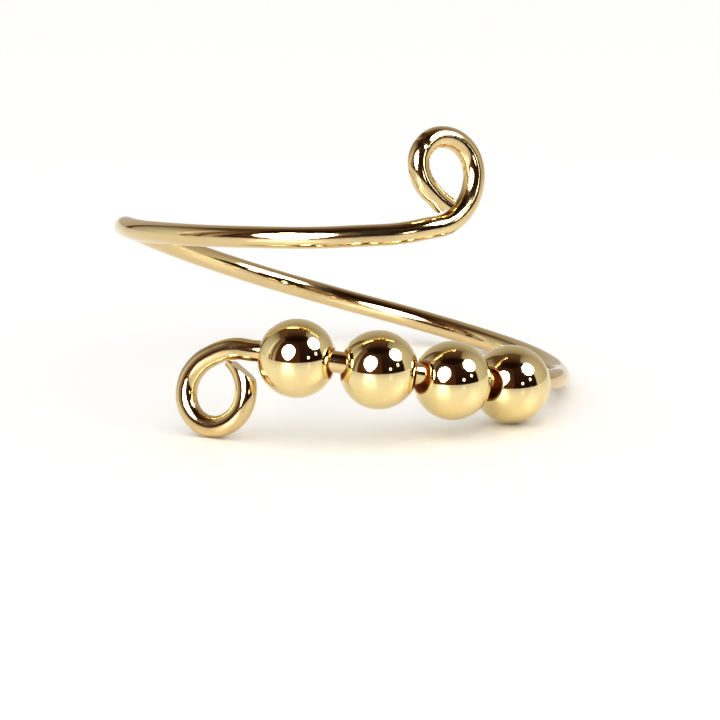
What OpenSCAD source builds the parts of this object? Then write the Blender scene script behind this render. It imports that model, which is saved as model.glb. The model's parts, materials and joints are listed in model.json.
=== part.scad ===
/* [Ring] */
// Inner diameter of the finger hole
ring_d = 15.4; // [15.3:0.1:19]
// Diameter of the round wire
wire_d = 0.8; // [0.6:0.05:0.9]

/* [Beads] */
// Diameter of each bead
bead_d = 2.88; // [2:0.02:2.9]
// Diameter of the hole drilled through each bead
bore_d = 1.1; // [1.05:0.05:1.4]

/* [Resting] */
// Lean away from the viewer, at which the ring rests on its lower scroll, a bead and its back
lean_back = 12.7; // [0:0.1:30]
// Lean to the right
lean_side = 0.2; // [-10:0.1:10]

/* [Hidden] */
NODES = ["wire", "bead_1", "bead_2", "bead_3", "bead_4"];

gold = [0.85, 0.65, 0.3];
wire_r = wire_d / 2;
bead_r = bead_d / 2;
// radius of the wire's centreline round the finger
ring_r = (ring_d + wire_d) / 2;
// every second bend is thinner by this, and laps into its neighbours, so that all fuse into one
seam = 0.01;
seam_lap = 0.05;
// a curved wire clears both ends of a straight bore when the bead sits this far towards the finger
bead_in = 0.05;
// a bead's bore is loose, so it hangs this far below the wire's centreline
bead_drop = 0.07;

// Turn is in degrees round the finger from the front, growing to the right.
// The wire starts at the lower scroll, runs right under the beads, round the back and to the
// upper scroll. Height is from the middle of the ring.
// Columns: turn, height
band_rows = [
    [-23, -1.84],
    [-11.7, -2.04], [9.5, -2.45], [29.8, -2.85], [50.2, -3.01],
    [70, -2.96], [90, -2.8], [105, -2.48], [120, -2.06], [140, -1.43], [160, -0.71],
    [180, 0.04], [200, 0.83], [220, 1.62], [240, 2.29], [255, 2.64], [270, 2.74],
    [300, 2.5], [330, 2.3], [360, 2.28], [380, 2.52]
];
// the beads sit at the rows after the first
first_bead_row = 1;

// Each scroll lies flat, in a plane that touches the finger cylinder at its turn and hinge height. Above
// the hinge the plane leans in over the finger, and below it out.
// Columns: turn, hinge height, lean
lower_flat = [-27, -1.92, 4];
upper_flat = [390, 2.85, 5];
// Columns: across, height
lower_eye = [-0.95, -3.38];
upper_eye = [-0.21, 4.74];
// Columns: angle round the eye, radius from the eye. The lower scroll starts at the cut tip
lower_rows = [
    [422, 1.42], [395, 1.3], [360, 1.23], [320, 1.21], [280, 1.21], [240, 1.22],
    [200, 1.22], [160, 1.22], [125, 1.27], [94, 1.41], [66, 1.77]
];
// Columns: angle round the eye, radius from the eye. The upper scroll ends at the cut tip
upper_rows = [
    [-86, 1.87], [-63, 1.54], [-34, 1.28], [0, 1.15], [39, 1.12], [80, 1.15],
    [121, 1.21], [161, 1.2], [199, 1.11], [234, 1.11], [270, 1.4]
];
// Columns: across, height and heading of the cutter that nips the tip. It removes what is on its left
lower_cut = [0.16, -2.58, -36];
upper_cut = [-0.31, 3.31, 206];
cutter = 3;
// bends of wire between rows that each cut passes through
lower_cut_bends = 2;
upper_cut_bends = 1;

function unit(v) = v / norm(v);
function on_finger(turn, height) = [ring_r * sin(turn), -ring_r * cos(turn), height];
function rightward(turn) = [cos(turn), sin(turn), 0];
function inward(turn) = [-sin(turn), cos(turn), 0];
function on_flat(flat, across, height) =
    on_finger(flat[0], height) + across * rightward(flat[0])
    + (height - flat[1]) * tan(flat[2]) * inward(flat[0]);
function scroll_path(flat, eye, rows) = [
    for (row = rows)
        on_flat(flat, eye[0] + row[1] * cos(row[0]), eye[1] + row[1] * sin(row[0]))
];

path = concat(
    scroll_path(lower_flat, lower_eye, lower_rows),
    [for (row = band_rows) on_finger(row[0], row[1])],
    scroll_path(upper_flat, upper_eye, upper_rows)
);
last = len(path) - 1;

// the heading at an inner point is that of the circle through it and its neighbours
function inner_heading(i) =
    let (before = path[i] - path[i - 1], after = path[i + 1] - path[i])
    unit(unit(before) * norm(after) + unit(after) * norm(before));
// an end carries the bend on: its heading is its neighbour's, mirrored in the chord
function mirrored(heading, chord) = 2 * (chord * heading) * chord - heading;
function heading(i) =
    i == 0 ? mirrored(inner_heading(1), unit(path[1] - path[0])) :
    i == last ? mirrored(inner_heading(last - 1), unit(path[last] - path[last - 1])) :
    inner_heading(i);

// two points with headings are joined by two arcs that meet here, tangent to each other
function meeting(p, p_heading, q, q_heading) =
    let (
        chord = q - p,
        sum = p_heading + q_heading,
        a = 2 * (1 - p_heading * q_heading),
        b = chord * sum,
        reach = (-b + sqrt(b * b + a * (chord * chord))) / a
    )
    (p + q + reach * (p_heading - q_heading)) / 2;
// an arc from p to q: its normal, radius, centre and angle
function arc_normal(p, p_heading, q) = unit(cross(p_heading, q - p));
function arc_out(p, p_heading, q) = cross(p_heading, arc_normal(p, p_heading, q));
function arc_radius(p, p_heading, q) =
    (q - p) * (q - p) / (2 * abs((q - p) * arc_out(p, p_heading, q)));
function arc_centre(p, p_heading, q) =
    p - arc_radius(p, p_heading, q) * arc_out(p, p_heading, q);
function arc_angle(p, p_heading, q) = 2 * acos(unit(q - p) * p_heading);
function arc_point(p, p_heading, q, part) =
    let (angle = part * arc_angle(p, p_heading, q))
    arc_centre(p, p_heading, q) + arc_radius(p, p_heading, q)
        * (cos(angle) * arc_out(p, p_heading, q) + sin(angle) * p_heading);

function bead_place(number) =
    let (row = first_bead_row + number - 1, turn = band_rows[row][0])
    path[len(lower_rows) + row] + bead_in * inward(turn) - [0, 0, bead_drop];
function bead_heading(number) = heading(len(lower_rows) + first_bead_row + number - 1);

// the ring leaned back and aside, as it rests
function leaned(p) =
    let (
        y = p.y * cos(lean_back) + p.z * sin(lean_back),
        z = -p.y * sin(lean_back) + p.z * cos(lean_back)
    )
    [p.x * cos(lean_side) + z * sin(lean_side), y, -p.x * sin(lean_side) + z * cos(lean_side)];

// the box round the leaned ring, from points along the wire and the beads' middles
wire_points = [
    for (i = [0 : last - 1])
        let (meet = meeting(path[i], heading(i), path[i + 1], heading(i + 1)))
        for (part = [0 : 0.125 : 1])
            each [
                leaned(arc_point(path[i], heading(i), meet, part)),
                leaned(arc_point(path[i + 1], -heading(i + 1), meet, part))
            ]
];
bead_points = [for (number = [1 : len(NODES) - 1]) leaned(bead_place(number))];
function lowest(axis) =
    min(min([for (p = wire_points) p[axis]]) - wire_r, min([for (p = bead_points) p[axis]]) - bead_r);
function highest(axis) =
    max(max([for (p = wire_points) p[axis]]) + wire_r, max([for (p = bead_points) p[axis]]) + bead_r);
foot = [(lowest(0) + highest(0)) / 2, (lowest(1) + highest(1)) / 2, lowest(2)];

// stands the ring on the table, with the middle of its box over the origin
module resting() {
    translate(-foot)
        rotate([-lean_back, lean_side, 0])
            children();
}

// one bend of the wire, a part of a torus from p to q, that runs on by lap at both ends
module bend(p, p_heading, q, thickness, lap) {
    out = arc_out(p, p_heading, q);
    normal = arc_normal(p, p_heading, q);
    centre = arc_centre(p, p_heading, q);
    radius = arc_radius(p, p_heading, q);
    lap_angle = lap / radius * 180 / PI;
    multmatrix([
        [out.x, p_heading.x, normal.x, centre.x],
        [out.y, p_heading.y, normal.y, centre.y],
        [out.z, p_heading.z, normal.z, centre.z],
        [0, 0, 0, 1]
    ])
        rotate([0, 0, -lap_angle])
            rotate_extrude(angle = arc_angle(p, p_heading, q) + 2 * lap_angle, $fn = 256)
                translate([radius, 0])
                    circle(d = thickness, $fn = 48);
}

// the wire between two rows of the path, numbered from its lower tip
module bends(from, to) {
    for (i = [from : to - 1]) {
        meet = meeting(path[i], heading(i), path[i + 1], heading(i + 1));
        bend(path[i], heading(i), meet, wire_d, 0);
        bend(path[i + 1], -heading(i + 1), meet, wire_d - seam, seam_lap);
    }
}

// a block that nips off whatever lies to the left of the cut, in a scroll's plane
module nip(flat, cut) {
    side = rightward(flat[0]);
    up = unit([0, 0, 1] + tan(flat[2]) * inward(flat[0]));
    face = cross(side, up);
    start = on_flat(flat, cut[0], cut[1]);
    multmatrix([
        [side.x, up.x, face.x, start.x],
        [side.y, up.y, face.y, start.y],
        [side.z, up.z, face.z, start.z],
        [0, 0, 0, 1]
    ])
        rotate([0, 0, cut[2]])
            translate([-cutter / 2, 0, -cutter / 2])
                cube(cutter);
}

module wire() {
    color(gold)
        resting()
            union() {
                difference() {
                    bends(0, lower_cut_bends);
                    nip(lower_flat, lower_cut);
                }
                bends(lower_cut_bends, last - upper_cut_bends);
                difference() {
                    bends(last - upper_cut_bends, last);
                    nip(upper_flat, upper_cut);
                }
            }
}

// a drilled ball, strung on the wire
module bead(number) {
    along = bead_heading(number);
    color(gold)
        resting()
            translate(bead_place(number))
                rotate([0, acos(along.z), atan2(along.y, along.x)])
                    difference() {
                        sphere(d = bead_d, $fn = 96);
                        cylinder(d = bore_d, h = 2 * bead_d, center = true, $fn = 64);
                    }
}

wire();
bead(1);  // bead_1
bead(2);  // bead_2
bead(3);  // bead_3
bead(4);  // bead_4
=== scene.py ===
import json
import math
import bmesh
import bpy
from mathutils import Matrix, Vector


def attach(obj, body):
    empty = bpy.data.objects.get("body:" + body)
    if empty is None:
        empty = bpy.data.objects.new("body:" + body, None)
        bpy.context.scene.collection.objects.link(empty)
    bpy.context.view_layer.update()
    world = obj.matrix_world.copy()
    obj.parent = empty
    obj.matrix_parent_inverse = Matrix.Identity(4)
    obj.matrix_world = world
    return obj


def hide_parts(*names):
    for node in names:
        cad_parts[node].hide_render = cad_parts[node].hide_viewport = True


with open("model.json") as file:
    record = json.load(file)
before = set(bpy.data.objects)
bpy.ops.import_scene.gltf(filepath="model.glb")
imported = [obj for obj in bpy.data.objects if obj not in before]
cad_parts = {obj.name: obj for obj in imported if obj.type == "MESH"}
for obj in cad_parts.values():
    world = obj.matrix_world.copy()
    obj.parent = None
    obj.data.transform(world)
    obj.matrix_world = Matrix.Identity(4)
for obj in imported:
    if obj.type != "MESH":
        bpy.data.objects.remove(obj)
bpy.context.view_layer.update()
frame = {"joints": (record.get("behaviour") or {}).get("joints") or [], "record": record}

# Wire
# One length of 0.8 mm round brass wire, gold plated and polished. It is bent once and a bit round a
# mandrel, rises as it goes, and round-nosed pliers have curled both cut ends into flat eyes.
# Sizes here are in millimetres and degrees, and turn is counted round the finger from the front.
wire_width = 0.8
finger_hole = 15.4
loop_radius = (finger_hole + wire_width) / 2
# Each eye lies flat in a plane that touches the finger cylinder at its turn and hinge, and leans in above
lower_eye = {"turn": -27, "hinge": -1.92, "lean": 4, "across": -0.95, "height": -3.38}
upper_eye = {"turn": 390, "hinge": 2.85, "lean": 5, "across": -0.21, "height": 4.74}
# Columns: angle round the eye, radius from the eye
lower_curl = [
    (422, 1.42), (395, 1.3), (360, 1.23), (320, 1.21), (280, 1.21), (240, 1.22),
    (200, 1.22), (160, 1.22), (125, 1.27), (94, 1.41), (66, 1.77),
]
# Columns: turn, height
band = [
    (-23, -1.84), (-11.7, -2.04), (9.5, -2.45), (29.8, -2.85), (50.2, -3.01), (70, -2.96),
    (90, -2.8), (105, -2.48), (120, -2.06), (140, -1.43), (160, -0.71), (180, 0.04),
    (200, 0.83), (220, 1.62), (240, 2.29), (255, 2.64), (270, 2.74), (300, 2.5),
    (330, 2.3), (360, 2.28), (380, 2.52),
]
# Columns: angle round the eye, radius from the eye
upper_curl = [
    (-86, 1.87), (-63, 1.54), (-34, 1.28), (0, 1.15), (39, 1.12), (80, 1.15),
    (121, 1.21), (161, 1.2), (199, 1.11), (234, 1.11), (270, 1.4),
]
# The side cutters' blade passes through this point, at this angle, in the plane of the eye
lower_nip = {"across": 0.16, "height": -2.58, "angle": -36}
upper_nip = {"across": -0.31, "height": 3.31, "angle": 206}
# Rows of the curl that each nip reaches
lower_nip_rows = 2
upper_nip_rows = 1
# The pliers' jaws left these dents and dull patches. Angle is round the eye, and side is round the wire,
# from 0 at the outside of the eye over 90 at its front to 180 at its inside.
# Columns: eye, angle, side, depth, reach along the wire, reach round it, how dull
plier_marks = [
    (upper_eye, upper_curl, 140, 65, 0.02, 0.12, 0.2, 1),
    (upper_eye, upper_curl, 135, 5, 0.05, 0.05, 0.14, 0.9),
    (upper_eye, upper_curl, 131, 32, 0.04, 0.05, 0.12, 0.9),
    (upper_eye, upper_curl, 127, 12, -0.03, 0.12, 0.08, 0),
    (upper_eye, upper_curl, 28, 180, 0.05, 0.05, 0.08, 0.3),
    (upper_eye, upper_curl, -54, 108, 0.015, 0.2, 0.16, 1),
    (upper_eye, upper_curl, 240, 0, 0.07, 0.22, 0.3, 0.2),
    (lower_eye, lower_curl, 64, 80, 0.01, 0.3, 0.16, 0.8),
    (lower_eye, lower_curl, 94, 65, 0, 0.4, 0.14, 0.6),
    (lower_eye, lower_curl, 202, 180, 0.03, 0.09, 0.12, 0.4),
    (lower_eye, lower_curl, 268, 100, 0.012, 0.28, 0.2, 0.7),
]
# The front of the band was pressed a little flat, and it has some nicks. The two rows without depth are
# painted shade: dark, duller patches that mottle the wire's dark reflection bands. Side is round the wire,
# from 0 at the outside of the loop over 90 at its top to 180 at its inside.
# Columns: turn, height, side, depth, reach along the wire, reach round it, how dull
band_marks = [
    (348, 2.28, 9, 0.034, 0.9, 0.22, 0),
    (302.5, 2.49, 33, 0.03, 0.07, 0.07, 1),
    (210.5, 1.25, 155, 0.02, 0.15, 0.06, 1),
    (196.6, 0.7, 178, 0.03, 0.07, 0.07, 0.8),
    # Painted shade: a dark, duller patch in the dark reflection band right of the front highlight
    (366, 2.33, 14, 0, 1, 0.2, 1),
    # Painted shade: the same dark, duller patch, on the inside at the back
    (186, 0.27, 175, 0, 0.5, 0.16, 0.6),
]
# The wire has this many sides, and a row of points at least every so many millimetres and degrees
wire_sides = 48
longest_step = 0.25
widest_step = 2.5
# A face with more corners than this closes an end
most_corners = 5
# Points nearer to each other than this are one
same_place = 1e-4
# A mark is gone at this many times its reach
mark_end = 3

# Where the loop stands and how it leans, from its own mount in the frame
mm = 0.001
hole_mount = next(mount for mount in frame["record"]["mounts"] if mount["name"] == "finger_hole")
hole_axis = Vector(hole_mount["axis"]).normalized()
lean_back = math.asin(hole_axis.y)
lean_side = math.atan2(hole_axis.x, hole_axis.z)
lean = Matrix.Rotation(lean_side, 4, "Y") @ Matrix.Rotation(-lean_back, 4, "X")
standing = Matrix.Translation(hole_mount["pos_m"]) @ lean @ Matrix.Scale(mm, 4)


def round_finger(turn, height):
    angle = math.radians(turn)
    return Vector((loop_radius * math.sin(angle), -loop_radius * math.cos(angle), height))


def eye_directions(eye):
    """To the right in the eye's plane, up in it, and out of it to the front."""
    turn = math.radians(eye["turn"])
    slope = math.tan(math.radians(eye["lean"]))
    right = Vector((math.cos(turn), math.sin(turn), 0))
    up = Vector((-slope * math.sin(turn), slope * math.cos(turn), 1)).normalized()
    return right, up, right.cross(up)


def on_eye_plane(eye, across, height):
    right, up, _ = eye_directions(eye)
    return round_finger(eye["turn"], eye["hinge"]) + across * right + (height - eye["hinge"]) / up.z * up


def curl_points(eye, curl):
    points = []
    for angle, radius in curl:
        across = eye["across"] + radius * math.cos(math.radians(angle))
        height = eye["height"] + radius * math.sin(math.radians(angle))
        points.append(on_eye_plane(eye, across, height))
    return points


def mirrored(direction, chord):
    along = chord.normalized()
    return 2 * direction.dot(along) * along - direction


def headings_along(points):
    """The wire's heading at each point is that of the circle through it and its neighbours."""
    found = []
    for before, here, after in zip(points, points[1:], points[2:]):
        back = here - before
        ahead = after - here
        found.append((back.normalized() * ahead.length + ahead.normalized() * back.length).normalized())
    first = mirrored(found[0], points[1] - points[0])
    last = mirrored(found[-1], points[-1] - points[-2])
    return [first] + found + [last]


def where_bends_meet(start, start_heading, end, end_heading):
    chord = end - start
    a = 2 * (1 - start_heading.dot(end_heading))
    b = chord.dot(start_heading + end_heading)
    reach = chord.length_squared / (b + math.sqrt(b * b + a * chord.length_squared))
    return (start + end + reach * (start_heading - end_heading)) / 2


def bend_to(wire, ring, start, heading, end):
    """Bends the open end of the wire round to a point."""
    chord = end - start
    axis = heading.cross(chord).normalized()
    angle = 2 * heading.angle(chord)
    radius = chord.length / 2 / math.sin(angle / 2)
    centre = start + radius * axis.cross(heading)
    steps = math.ceil(max(angle * radius / longest_step, math.degrees(angle) / widest_step))
    spun = bmesh.ops.spin(wire, geom=ring, cent=centre, axis=axis, angle=angle, steps=steps)
    return spun["geom_last"], mirrored(heading, chord), steps, angle * radius


def strike(wire, middle, outward, aside, side, depth, along, around, dull):
    """Pushes the surface in at one side of the wire, and leaves wear there; on the band patches without
    depth, that mark is painted shade.
    """
    push = math.cos(math.radians(side)) * outward + math.sin(math.radians(side)) * aside
    struck = middle + wire_width / 2 * push
    run = outward.cross(aside)
    wear_and_painted_shade = wire.verts.layers.float["wear_and_painted_shade"]
    for vert in wire.verts:
        off = vert.co - struck
        if off.length < mark_end * max(along, around):
            lengthwise = off.dot(run)
            crosswise = (off - lengthwise * run).length
            strength = math.exp(-(lengthwise / along) ** 2 - (crosswise / around) ** 2)
            vert.co -= depth * strength * push
            vert[wear_and_painted_shade] = max(vert[wear_and_painted_shade], dull * strength)


def nip_off(wire, faces, eye, nip):
    """Cuts the wire's end off to the left of the blade and closes it."""
    angle = math.radians(nip["angle"])
    right, up, _ = eye_directions(eye)
    left = math.cos(angle) * up - math.sin(angle) * right
    verts = dict.fromkeys(vert for face in faces for vert in face.verts)
    edges = dict.fromkeys(edge for face in faces for edge in face.edges)
    blade = on_eye_plane(eye, nip["across"], nip["height"])
    cut = bmesh.ops.bisect_plane(
        wire, geom=[*verts, *edges, *faces], dist=same_place, plane_co=blade, plane_no=left,
        clear_outer=True)
    rim = [item for item in cut["geom_cut"] if isinstance(item, bmesh.types.BMEdge)]
    bmesh.ops.edgeloop_fill(wire, edges=rim)
    for edge in rim:
        edge.smooth = False


route = curl_points(lower_eye, lower_curl)
route += [round_finger(turn, height) for turn, height in band]
route += curl_points(upper_eye, upper_curl)
heading = headings_along(route)

wire_mesh = bmesh.new()
face_on = heading[0].to_track_quat("Z", "Y").to_matrix().to_4x4()
bmesh.ops.create_circle(
    wire_mesh, cap_ends=True, segments=wire_sides, radius=wire_width / 2,
    matrix=Matrix.Translation(route[0]) @ face_on)
open_end = list(wire_mesh.verts) + list(wire_mesh.edges)
going = heading[0]
ring_lengths = [0]
length_at_row = [0]
for row in range(len(route) - 1):
    meet = where_bends_meet(route[row], heading[row], route[row + 1], heading[row + 1])
    for here, there in ((route[row], meet), (meet, route[row + 1])):
        open_end, going, steps, length = bend_to(wire_mesh, open_end, here, going, there)
        bent = ring_lengths[-1]
        ring_lengths += [bent + length * step / steps for step in range(1, steps + 1)]
    length_at_row.append(ring_lengths[-1])
bmesh.ops.edgeloop_fill(wire_mesh, edges=[item for item in open_end if isinstance(item, bmesh.types.BMEdge)])

# Each point keeps its place round the wire and along it, for the fine lines that drawing left
grain = wire_mesh.verts.layers.float_vector.new("grain")
for number, vert in enumerate(wire_mesh.verts):
    round_wire = 2 * math.pi * (number % wire_sides) / wire_sides
    vert[grain] = (math.cos(round_wire), math.sin(round_wire), ring_lengths[number // wire_sides])

wire_mesh.verts.layers.float.new("wear_and_painted_shade")
for eye, curl, angle, side, depth, along, around, dull in plier_marks:
    right, up, front = eye_directions(eye)
    outward = math.cos(math.radians(angle)) * right + math.sin(math.radians(angle)) * up
    nearest_row = min(curl, key=lambda row: abs(row[0] - angle))
    middle = on_eye_plane(eye, eye["across"], eye["height"]) + nearest_row[1] * outward
    strike(wire_mesh, middle, outward, front, side, depth, along, around, dull)
for turn, height, side, depth, along, around, dull in band_marks:
    middle = round_finger(turn, height)
    outward = Vector((middle.x, middle.y, 0)).normalized()
    strike(wire_mesh, middle, outward, Vector((0, 0, 1)), side, depth, along, around, dull)

for eye, nip, from_length, to_length in (
        (lower_eye, lower_nip, 0, length_at_row[lower_nip_rows]),
        (upper_eye, upper_nip, length_at_row[-1 - upper_nip_rows], length_at_row[-1])):
    reached = [
        face for face in wire_mesh.faces
        if all(from_length - same_place < vert[grain].z < to_length + same_place for vert in face.verts)]
    nip_off(wire_mesh, reached, eye, nip)

bmesh.ops.recalc_face_normals(wire_mesh, faces=wire_mesh.faces)
for face in wire_mesh.faces:
    face.smooth = len(face.verts) <= most_corners
bmesh.ops.transform(wire_mesh, matrix=standing, verts=wire_mesh.verts)
wire_data = bpy.data.meshes.new("ring_wire")
wire_mesh.to_mesh(wire_data)
wire_mesh.free()
wire = bpy.data.objects.new("ring_wire", wire_data)
bpy.context.scene.collection.objects.link(wire)

# Sockets of a node that mixes two colours
first_colour = 6
second_colour = 7
mixed = 2


def gold_finish(name, colour, deep_colour, roughness, rougher, cloud_size):
    """Gold plate over polished brass, a little deeper and duller in soft clouds."""
    material = bpy.data.materials.new(name)
    material.use_nodes = True
    nodes = material.node_tree.nodes
    link = material.node_tree.links.new
    shader = nodes["Principled BSDF"]
    shader.inputs["Metallic"].default_value = 1
    place = nodes.new("ShaderNodeTexCoord")
    clouds = nodes.new("ShaderNodeTexNoise")
    clouds.inputs["Scale"].default_value = 1 / cloud_size
    clouds.inputs["Detail"].default_value = 4
    clouds.inputs["Roughness"].default_value = 0.6
    tone = nodes.new("ShaderNodeMix")
    tone.name = "tone"
    tone.data_type = "RGBA"
    tone.inputs[first_colour].default_value = (*colour, 1)
    tone.inputs[second_colour].default_value = (*deep_colour, 1)
    dulling = nodes.new("ShaderNodeMapRange")
    dulling.name = "dulling"
    dulling.inputs["From Min"].default_value = 0.35
    dulling.inputs["From Max"].default_value = 0.7
    dulling.inputs["To Min"].default_value = roughness
    dulling.inputs["To Max"].default_value = rougher
    link(place.outputs["Object"], clouds.inputs["Vector"])
    link(clouds.outputs["Fac"], tone.inputs[0])
    link(clouds.outputs["Fac"], dulling.inputs["Value"])
    link(tone.outputs[mixed], shader.inputs["Base Color"])
    link(dulling.outputs["Result"], shader.inputs["Roughness"])
    return material


wire_gold = gold_finish("gold_wire", (0.73, 0.56, 0.29), (0.67, 0.495, 0.24), 0.06, 0.1, 2 * mm)
nodes = wire_gold.node_tree.nodes
link = wire_gold.node_tree.links.new
shader = nodes["Principled BSDF"]

# Fine lines that the drawing die left along the wire
drawn = nodes.new("ShaderNodeAttribute")
drawn.attribute_name = "grain"
stretch = nodes.new("ShaderNodeMapping")
stretch.inputs["Scale"].default_value = (9, 9, 0.7)
lines = nodes.new("ShaderNodeTexNoise")
lines.inputs["Scale"].default_value = 1
lines.inputs["Detail"].default_value = 3
ridges = nodes.new("ShaderNodeBump")
ridges.inputs["Strength"].default_value = 1
ridges.inputs["Distance"].default_value = 0.0017 * mm
link(drawn.outputs["Vector"], stretch.inputs["Vector"])
link(stretch.outputs["Vector"], lines.inputs["Vector"])
link(lines.outputs["Fac"], ridges.inputs["Height"])

# Where the pliers gripped, the plate is scuffed and dark. The same dark scuff colour is painted shade on
# the band patches without depth, where it mottles the dark reflection bands.
worn_and_painted_shade = nodes.new("ShaderNodeAttribute")
worn_and_painted_shade.attribute_name = "wear_and_painted_shade"
scuffs = nodes.new("ShaderNodeTexNoise")
scuffs.inputs["Scale"].default_value = 1 / (0.12 * mm)
scuffs.inputs["Detail"].default_value = 3
place = nodes.new("ShaderNodeTexCoord")
patchy = nodes.new("ShaderNodeMath")
patchy.operation = "MULTIPLY"
dents = nodes.new("ShaderNodeBump")
dents.inputs["Strength"].default_value = 1
dents.inputs["Distance"].default_value = 0.004 * mm
scuffed_and_painted_shade = nodes.new("ShaderNodeMix")
scuffed_and_painted_shade.data_type = "RGBA"
scuffed_and_painted_shade.inputs[second_colour].default_value = (0.2, 0.14, 0.075, 1)
rough = nodes.new("ShaderNodeMath")
rough.operation = "MULTIPLY_ADD"
rough.inputs[1].default_value = 0.15
link(place.outputs["Object"], scuffs.inputs["Vector"])
link(scuffs.outputs["Fac"], patchy.inputs[0])
link(worn_and_painted_shade.outputs["Fac"], patchy.inputs[1])
link(patchy.outputs["Value"], dents.inputs["Height"])
link(ridges.outputs["Normal"], dents.inputs["Normal"])
link(dents.outputs["Normal"], shader.inputs["Normal"])
link(patchy.outputs["Value"], scuffed_and_painted_shade.inputs[0])
link(nodes["tone"].outputs[mixed], scuffed_and_painted_shade.inputs[first_colour])
link(scuffed_and_painted_shade.outputs[mixed], shader.inputs["Base Color"])
link(patchy.outputs["Value"], rough.inputs[0])
link(nodes["dulling"].outputs["Result"], rough.inputs[2])
link(rough.outputs["Value"], shader.inputs["Roughness"])
wire_data.materials.append(wire_gold)
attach(wire, "ring")
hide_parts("wire")

# Beads
# Balls of gold-plated brass, drilled through and mirror polished, strung on the wire before its ends
# were curled. The hole is loose on the wire, so that they turn, and polishing has rounded its rims.
bead_width = 2.88
bead_hole = 1.1
rim_rounding = 0.07
bead_sides = 128
ball_steps = 96
rim_steps = 8
bead_gold = gold_finish("gold_bead", (0.845, 0.69, 0.35), (0.825, 0.66, 0.325), 0.04, 0.07, 1.2 * mm)
nodes = bead_gold.node_tree.nodes
link = bead_gold.node_tree.links.new
shader = nodes["Principled BSDF"]

# Inside the hole the colour is painted shade: a dark red-brown for the deep, many times reflected light
# there, and the metal there is made less metallic and rougher
drilled = nodes.new("ShaderNodeAttribute")
drilled.attribute_name = "drilled"
painted_bore_shade = nodes.new("ShaderNodeMix")
painted_bore_shade.data_type = "RGBA"
painted_bore_shade.inputs[second_colour].default_value = (0.5, 0.13, 0.04, 1)
sheen = nodes.new("ShaderNodeMapRange")
sheen.inputs["To Min"].default_value = 1
sheen.inputs["To Max"].default_value = 0.3
dull = nodes.new("ShaderNodeMath")
dull.operation = "MULTIPLY_ADD"
dull.inputs[1].default_value = 0.4
link(drilled.outputs["Fac"], painted_bore_shade.inputs[0])
link(nodes["tone"].outputs[mixed], painted_bore_shade.inputs[first_colour])
link(painted_bore_shade.outputs[mixed], shader.inputs["Base Color"])
link(drilled.outputs["Fac"], sheen.inputs["Value"])
link(sheen.outputs["Result"], shader.inputs["Metallic"])
link(drilled.outputs["Fac"], dull.inputs[0])
link(nodes["dulling"].outputs["Result"], dull.inputs[2])
link(dull.outputs["Value"], shader.inputs["Roughness"])

# Half of a bead's outline, across and along its bore: round the rim and over the ball to its middle
rim_across = bead_hole / 2 + rim_rounding
rim_along = math.sqrt((bead_width / 2 - rim_rounding) ** 2 - rim_across ** 2)
rim_end = math.atan2(rim_along, rim_across)
upper_outline = []
for step in range(rim_steps):
    angle = math.pi + (rim_end - math.pi) * step / rim_steps
    upper_outline.append(
        (rim_across + rim_rounding * math.cos(angle), rim_along + rim_rounding * math.sin(angle)))
for step in range(ball_steps // 2):
    angle = rim_end * (1 - 2 * step / ball_steps)
    upper_outline.append((bead_width / 2 * math.cos(angle), bead_width / 2 * math.sin(angle)))
lower_outline = [(across, -along) for across, along in reversed(upper_outline)]
outline = upper_outline + [(bead_width / 2, 0)] + lower_outline

for joint in frame["joints"]:
    bead_name = joint["child"]
    bead_mesh = bmesh.new()
    verts = [bead_mesh.verts.new((across, 0, along)) for across, along in outline]
    edges = [bead_mesh.edges.new(pair) for pair in zip(verts, verts[1:] + verts[:1])]
    bmesh.ops.spin(
        bead_mesh, geom=verts + edges, cent=(0, 0, 0), axis=(0, 0, 1), angle=2 * math.pi, steps=bead_sides)
    bmesh.ops.remove_doubles(bead_mesh, verts=bead_mesh.verts, dist=same_place)
    # The mask of the painted bore shade: full in the hole, fading out over the rounding of its rim
    in_hole = bead_mesh.verts.layers.float.new("drilled")
    for vert in bead_mesh.verts:
        into_rim = (rim_across - math.hypot(vert.co.x, vert.co.y)) / rim_rounding
        vert[in_hole] = min(1, max(0, into_rim))
    bmesh.ops.recalc_face_normals(bead_mesh, faces=bead_mesh.faces)
    for face in bead_mesh.faces:
        face.smooth = True
    face_on = Vector(joint["axis"]).to_track_quat("Z", "Y").to_matrix().to_4x4()
    strung = Matrix.Translation(joint["pos_m"]) @ face_on @ Matrix.Scale(mm, 4)
    bmesh.ops.transform(bead_mesh, matrix=strung, verts=bead_mesh.verts)
    bead_data = bpy.data.meshes.new("polished_" + bead_name)
    bead_mesh.to_mesh(bead_data)
    bead_mesh.free()
    bead_data.materials.append(bead_gold)
    bead = bpy.data.objects.new("polished_" + bead_name, bead_data)
    bpy.context.scene.collection.objects.link(bead)
    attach(bead, bead_name)
    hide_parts(bead_name)

# Table and room
# The ring lies on a white table in a pale light tent whose front and top are open to a dark room.
# Two large round lamps shine in from the front left and right, and two small ones from further off.
table_size = 4.0
table_mesh = bmesh.new()
bmesh.ops.create_grid(table_mesh, x_segments=1, y_segments=1, size=table_size / 2)
table_data = bpy.data.meshes.new("table")
table_mesh.to_mesh(table_data)
table_mesh.free()
table = bpy.data.objects.new("table", table_data)
bpy.context.scene.collection.objects.link(table)
table_white = bpy.data.materials.new("table_white")
table_white.use_nodes = True
table_shader = table_white.node_tree.nodes["Principled BSDF"]
table_shader.inputs["Base Color"].default_value = (0.93, 0.93, 0.93, 1)
table_shader.inputs["Roughness"].default_value = 0.25
table_shader.inputs["Specular IOR Level"].default_value = 0.05
table_data.materials.append(table_white)

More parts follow.
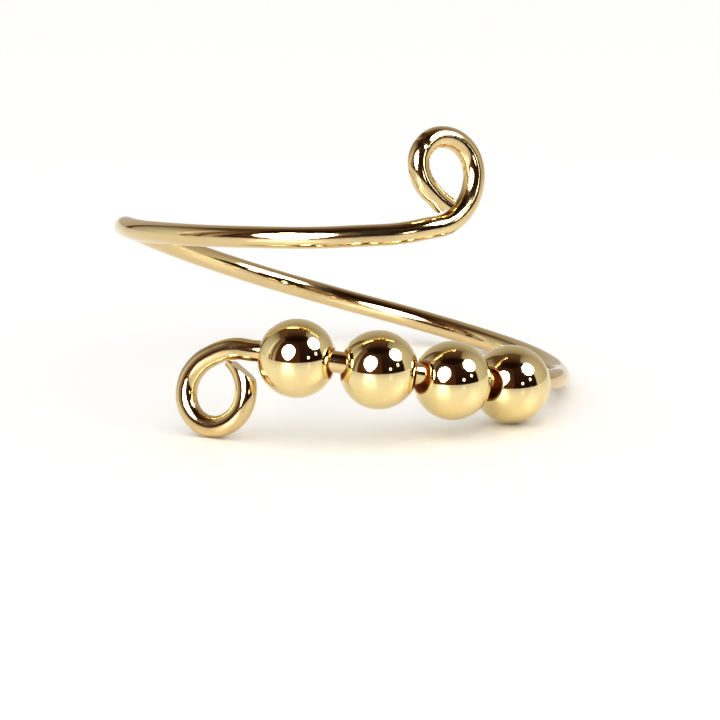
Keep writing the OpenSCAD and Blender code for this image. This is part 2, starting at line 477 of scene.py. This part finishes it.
sky = bpy.data.worlds.new("sky")
sky.use_nodes = True
sky.node_tree.nodes["Background"].inputs["Color"].default_value = (1, 1, 1, 1)
sky.node_tree.nodes["Background"].inputs["Strength"].default_value = 1.18
bpy.context.scene.world = sky


def out_there(compass, height, radius):
    """A point of the room. Compass is 0 towards the camera and grows to the right."""
    compass, height = math.radians(compass), math.radians(height)
    return radius * Vector((
        math.sin(compass) * math.cos(height), -math.cos(compass) * math.cos(height), math.sin(height)))


def glow(name, bright, dim, brightest_y, dimmest_y, brightest_z, dimmest_z):
    """A light of its own, that fades from front to back and from foot to top."""
    material = bpy.data.materials.new(name)
    material.use_nodes = True
    nodes = material.node_tree.nodes
    link = material.node_tree.links.new
    nodes.remove(nodes["Principled BSDF"])
    place = nodes.new("ShaderNodeTexCoord")
    apart = nodes.new("ShaderNodeSeparateXYZ")
    link(place.outputs["Object"], apart.inputs["Vector"])
    both = nodes.new("ShaderNodeMath")
    both.operation = "MULTIPLY"
    fades = ((0, "Y", brightest_y, dimmest_y), (1, "Z", brightest_z, dimmest_z))
    for number, axis, brightest, dimmest in fades:
        fade = nodes.new("ShaderNodeMapRange")
        fade.inputs["From Min"].default_value = dimmest
        fade.inputs["From Max"].default_value = brightest
        link(apart.outputs[axis], fade.inputs["Value"])
        link(fade.outputs["Result"], both.inputs[number])
    colour = nodes.new("ShaderNodeMix")
    colour.data_type = "RGBA"
    colour.inputs[first_colour].default_value = (*dim, 1)
    colour.inputs[second_colour].default_value = (*bright, 1)
    lit = nodes.new("ShaderNodeEmission")
    link(both.outputs["Value"], colour.inputs[0])
    link(colour.outputs[mixed], lit.inputs["Color"])
    link(lit.outputs["Emission"], nodes["Material Output"].inputs["Surface"])
    return material


def reflected_only(name, mesh, material):
    data = bpy.data.meshes.new(name)
    mesh.to_mesh(data)
    mesh.free()
    data.materials.append(material)
    thing = bpy.data.objects.new(name, data)
    bpy.context.scene.collection.objects.link(thing)
    thing.visible_camera = False
    thing.visible_diffuse = False
    thing.visible_shadow = False


# The gloom beyond the tent, and its hems at the front left, as pieces of balls round the ring. Each has its
# bright colour at the first y and z, and its dim one at the second.
# Columns: name, from and to compass, from and to height in degrees, both colours, both y, both z, radius
room_brown = (0.13, 0.065, 0.035)
far_cloth = (0.12, 0.065, 0.035)
gloom = [
    ("dark_room", -180, 180, -1, 90, room_brown, (0.012, 0.004, 0.003), 0.22, -0.2, -1, -2, 0.97),
    ("front_gloom", -63, 79, -1, 60, (0.03, 0.012, 0.008), (0.014, 0.005, 0.005), -1, -2, 0.7, 0, 0.95),
    ("lamp_gloom", -63, 9, -1, 58, (0.09, 0.03, 0.014), (0.05, 0.018, 0.01), -1, -2, 0.1, 0.7, 0.94),
    ("left_fold", -84, -64, -1, 60, (0.58, 0.5, 0.4), room_brown, -1, -2, 0.1, 0.8, 0.93),
    ("left_seam", -80, -75, -1, 50, (0.14, 0.08, 0.04), (0.12, 0.06, 0.03), -1, -2, 0.1, 0.8, 0.92),
    ("left_edge", -68, -64, -1, 50, (0.3, 0.18, 0.15), room_brown, -1, -2, 0.1, 0.8, 0.92),
    ("left_hem", -93, -88, 8, 48, (1.15, 1.12, 1), far_cloth, -1, -2, 0.15, 0.27, 0.29),
    ("left_foot", -89, -84, -1, 12, (0.3, 0.26, 0.15), far_cloth, -1, -2, 0.15, 0.27, 0.28),
]
height_steps = 24
compass_steps = 48
for name, compass_from, compass_to, low, high, bright, dim, near_y, far_y, low_z, high_z, radius in gloom:
    mesh = bmesh.new()
    verts = [
        mesh.verts.new(out_there(compass_from, low + (high - low) * step / height_steps, radius))
        for step in range(height_steps + 1)]
    edges = [mesh.edges.new(pair) for pair in zip(verts, verts[1:])]
    bmesh.ops.spin(
        mesh, geom=verts + edges, cent=(0, 0, 0), axis=(0, 0, 1),
        angle=math.radians(compass_to - compass_from), steps=compass_steps)
    reflected_only(name, mesh, glow(name, bright, dim, near_y, far_y, low_z, high_z))

# The cloth of the tent: its left, right and back wall, and the white paper that sweeps up the back wall.
# Between the left wall and the back wall a slit is open to the dark room.
# Columns: name, the wall's two ends on the table, height, both colours, both y, both z
back_white = (0.62, 0.59, 0.52)
cloth = [
    ("left_cloth", (-0.3, -0.03), (-0.3, 0.3), 0.8, (0.95, 0.98, 0.95), far_cloth, 0, 0.55, 0.06, 0.42),
    ("right_cloth", (0.3, -0.053), (0.3, 0.34), 0.8, (0.71, 0.67, 0.6), far_cloth, 0, 0.8, 0.2, 1),
    ("back_cloth", (-0.26, 0.34), (0.3, 0.34), 0.8, back_white, far_cloth, 0, 5, 0.1, 0.9),
    ("white_paper", (-0.16, 0.335), (0.16, 0.335), 0.07, (0.55, 0.54, 0.5), back_white, -1, -2, 0.02, 0.07),
]
cloth_foot = -0.01
for name, start, end, height, bright, dim, near_y, far_y, low_z, high_z in cloth:
    mesh = bmesh.new()
    corners = [
        mesh.verts.new((*start, cloth_foot)), mesh.verts.new((*end, cloth_foot)),
        mesh.verts.new((*end, height)), mesh.verts.new((*start, height))]
    mesh.faces.new(corners)
    reflected_only(name, mesh, glow(name, bright, dim, near_y, far_y, low_z, high_z))

# Columns: name, compass, height, degrees across, degrees tall, how far its lower point hangs, brightness
lamps = [
    ("left_lamp", -27, 31, 36, 38, 5, 30),
    ("right_lamp", 72, 43, 35, 30, 0, 30),
    ("small_lamp_1", 34, 13, 6, 7, 0, 8),
    ("small_lamp_2", 60, 19, 6, 7, 0, 8),
]
lamp_distance = 0.28
lamp_sides = 64
# The higher, the narrower is the point that hangs from a lamp
point_sharpness = 8
for name, compass, height, across, tall, point, brightness in lamps:
    mesh = bmesh.new()
    disc = bmesh.ops.create_circle(mesh, cap_ends=True, segments=lamp_sides, radius=lamp_distance)["verts"]
    squeeze = Matrix.Diagonal((math.tan(math.radians(across / 2)), math.tan(math.radians(tall / 2)), 1, 1))
    bmesh.ops.transform(mesh, matrix=squeeze, verts=disc)
    lowest = min(vert.co.y for vert in disc)
    for vert in disc:
        if vert.co.y < 0:
            hang = lamp_distance * math.tan(math.radians(point))
            vert.co.y -= hang * (vert.co.y / lowest) ** point_sharpness
    middle = out_there(compass, height, lamp_distance)
    aim = middle.to_track_quat("Z", "Y").to_matrix().to_4x4()
    bmesh.ops.transform(mesh, matrix=Matrix.Translation(middle) @ aim, verts=disc)
    white = (brightness, brightness, brightness)
    reflected_only(name, mesh, glow(name, white, white, 0, 1, 0, 1))

# Camera
# A long lens, level with the ring's own lean, so that the loop shows from in front and a little below
# its middle plane, as the photo shows it. Its distance and the ring's width are in millimetres.
camera_distance = 235
photo_side = 720
ring_width_px = 455
ring_width = 17
loop_centre_px = (342, 300)
px = ring_width / ring_width_px
camera_data = bpy.data.cameras.new("camera")
camera_data.sensor_width = 36
camera_data.lens = camera_data.sensor_width * camera_distance / (photo_side * px)
camera = bpy.data.objects.new("camera", camera_data)
bpy.context.scene.collection.objects.link(camera)
sight = Vector((
    (photo_side / 2 - loop_centre_px[0]) * px, camera_distance, (loop_centre_px[1] - photo_side / 2) * px))
side = sight.cross(Vector((0, 0, 1))).normalized()
up = side.cross(sight).normalized()
turned = Matrix((side, up, -sight.normalized())).transposed().to_4x4()
camera.matrix_world = Matrix.Translation(
    standing @ Vector((0, -camera_distance, 0))) @ lean @ turned
camera_data.clip_start = 0.01
camera_data.clip_end = 5
bpy.context.scene.camera = camera
bpy.context.scene.view_settings.view_transform = "Standard"
